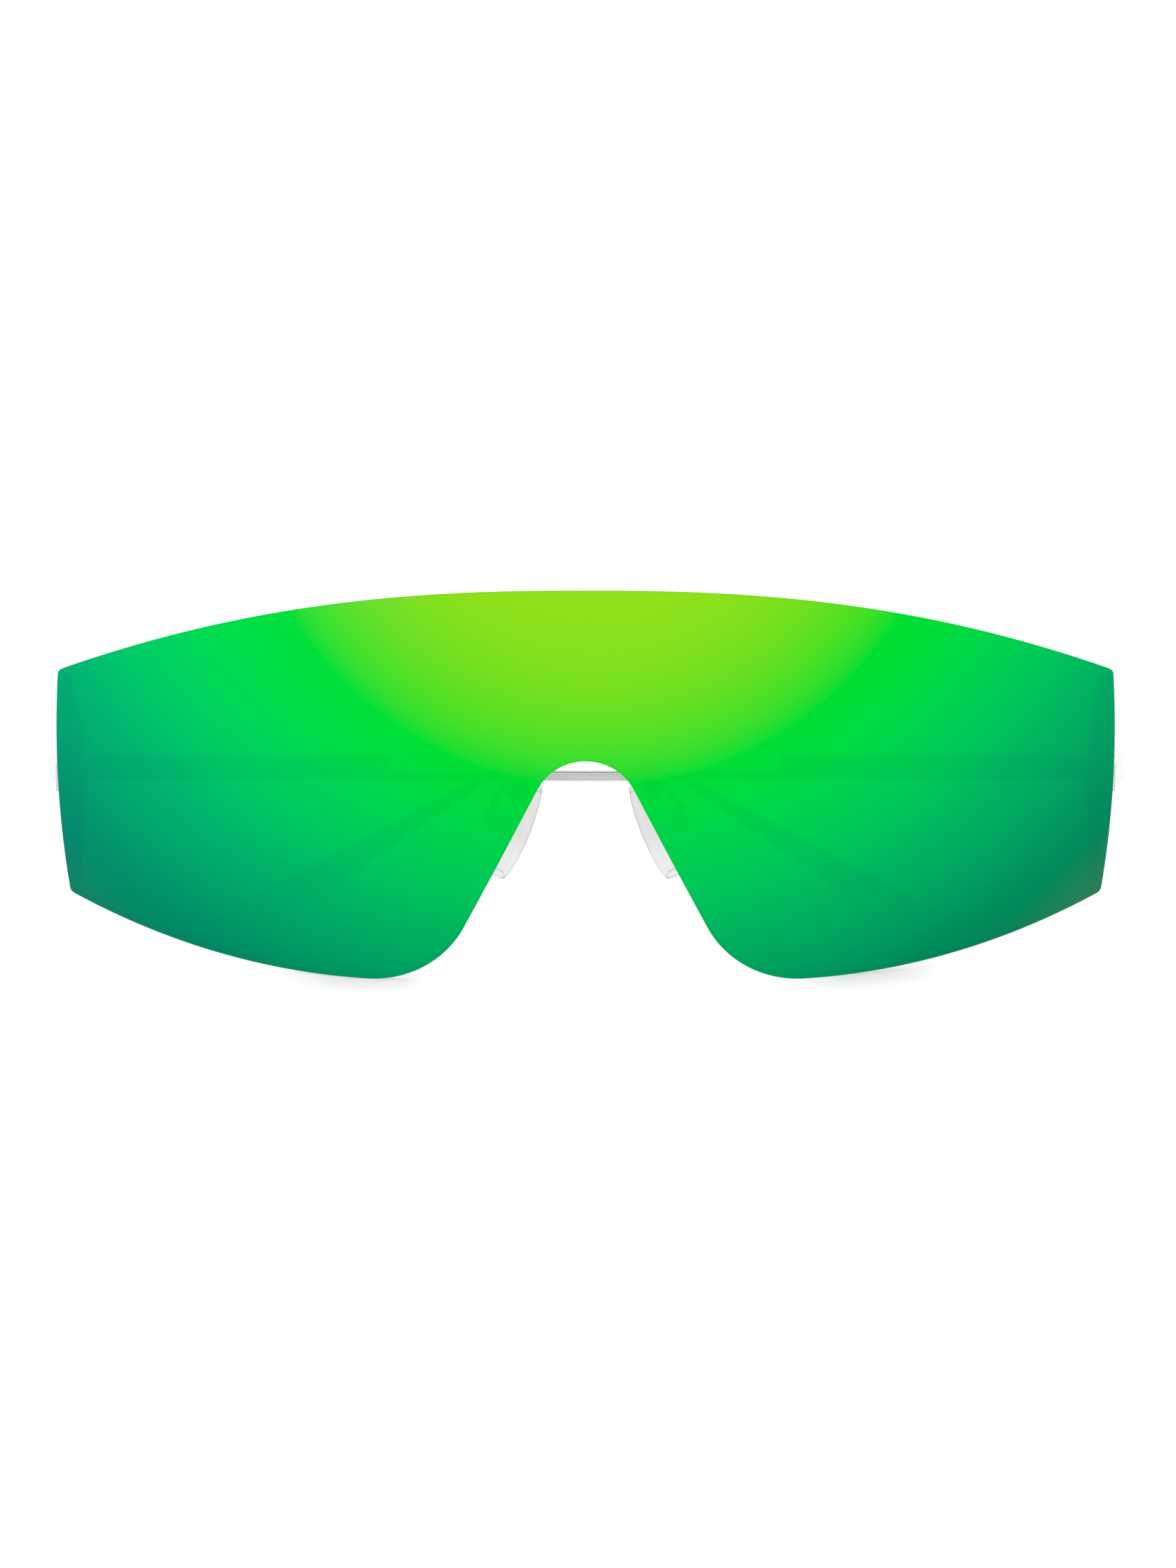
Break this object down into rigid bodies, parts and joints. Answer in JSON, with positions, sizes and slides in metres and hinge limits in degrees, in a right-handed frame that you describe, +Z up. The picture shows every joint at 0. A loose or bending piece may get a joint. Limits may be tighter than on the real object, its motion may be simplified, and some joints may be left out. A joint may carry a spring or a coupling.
{
  "type": "shield sunglasses",
  "caption": "Wraparound shield sunglasses: one curved green mirrored lens with a nose notch, slim metal folding temples and clear nose pads on wire arms.",
  "frame": {"origin": "on the table, below the middle of the object's box with the temples folded", "axes": "front faces -Y, +Z is up, X is the width; the wearer's side is +Y. Left is -X."},
  "size_m": [0.1524, 0.0383, 0.055],
  "materials": {
    "mirror_lens": "green mirror coating, yellow-green at the top to teal at the lower corners, on a dark tinted lens",
    "satin_steel": "plain silver, polished",
    "screw_steel": "bright",
    "nylon": "natural white",
    "silicone": "clear, smooth",
    "bond": "clear adhesive"
  },
  "bodies": {
    "front": {"lens": "mirror_lens", "left_end_piece": "satin_steel", "left_bond_film": "bond", "left_hinge_screw": "screw_steel", "left_hinge_washers": "nylon", "left_pad_mount": "satin_steel", "left_pad_arm": "satin_steel", "left_pad_box": "satin_steel", "left_pad_screw": "screw_steel", "right_end_piece": "satin_steel", "right_bond_film": "bond", "right_hinge_screw": "screw_steel", "right_hinge_washers": "nylon", "right_pad_mount": "satin_steel", "right_pad_arm": "satin_steel", "right_pad_box": "satin_steel", "right_pad_screw": "screw_steel"},
    "left_temple": {"left_temple_hinge": "satin_steel", "left_temple_bar": "satin_steel", "left_temple_collar": "satin_steel", "left_temple_core": "satin_steel", "left_temple_tip": "satin_steel"},
    "right_temple": {"right_temple_hinge": "satin_steel", "right_temple_bar": "satin_steel", "right_temple_collar": "satin_steel", "right_temple_core": "satin_steel", "right_temple_tip": "satin_steel"},
    "left_pad": {"left_pad_insert": "nylon", "left_nose_pad": "silicone"},
    "right_pad": {"right_pad_insert": "nylon", "right_nose_pad": "silicone"}
  },
  "joints": [
    {"name": "left_temple_hinge", "type": "hinge", "parent": "front", "child": "left_temple", "pos_m": [-0.0719, 0.01533, 0.02365], "axis": [0, 0, 1], "range_deg": [0, 90.6]},
    {"name": "right_temple_hinge", "type": "hinge", "parent": "front", "child": "right_temple", "pos_m": [0.0719, 0.01533, 0.02365], "axis": [0, 0, 1], "range_deg": [-89.4, 0]},
    {"name": "left_pad_rock", "type": "hinge", "parent": "front", "child": "left_pad", "pos_m": [-0.01192, -0.00721, 0.02126], "axis": [-0.1276, 0.9903, 0.0555], "range_deg": [-10, 10]},
    {"name": "right_pad_rock", "type": "hinge", "parent": "front", "child": "right_pad", "pos_m": [0.01192, -0.00721, 0.02126], "axis": [0.1276, 0.9903, 0.0555], "range_deg": [-10, 10]}
  ]
}
